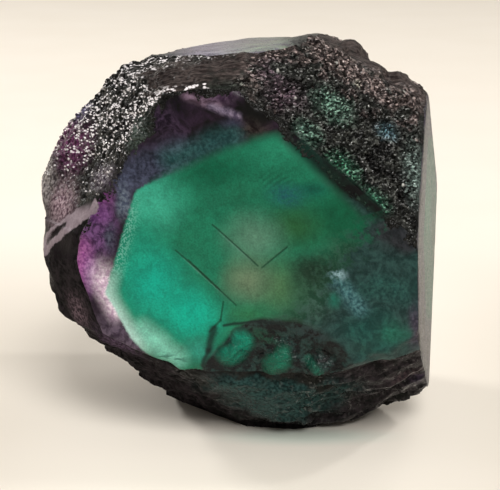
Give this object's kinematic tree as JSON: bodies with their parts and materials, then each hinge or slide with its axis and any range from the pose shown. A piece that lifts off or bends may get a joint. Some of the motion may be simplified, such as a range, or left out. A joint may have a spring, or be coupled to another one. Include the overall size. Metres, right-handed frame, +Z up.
{
  "type": "fluorite crystal",
  "caption": "Single fluorite crystal: a cube with large etched octahedral faces, smooth glassy faces onto a green heart with a purple rim, and a broken foot that it rests on.",
  "frame": {"origin": "middle of the crystal's box, on the surface that it stands on", "axes": "+Z up, -Y out of the smooth front face, +X to the right seen from the front"},
  "size_m": [0.0324, 0.028, 0.0308],
  "materials": {
    "fluorite": "glassy cube faces, satin etched faces, rough broken foot"
  },
  "bodies": {
    "root": {"fluorite_crystal": "fluorite"}
  },
  "joints": []
}
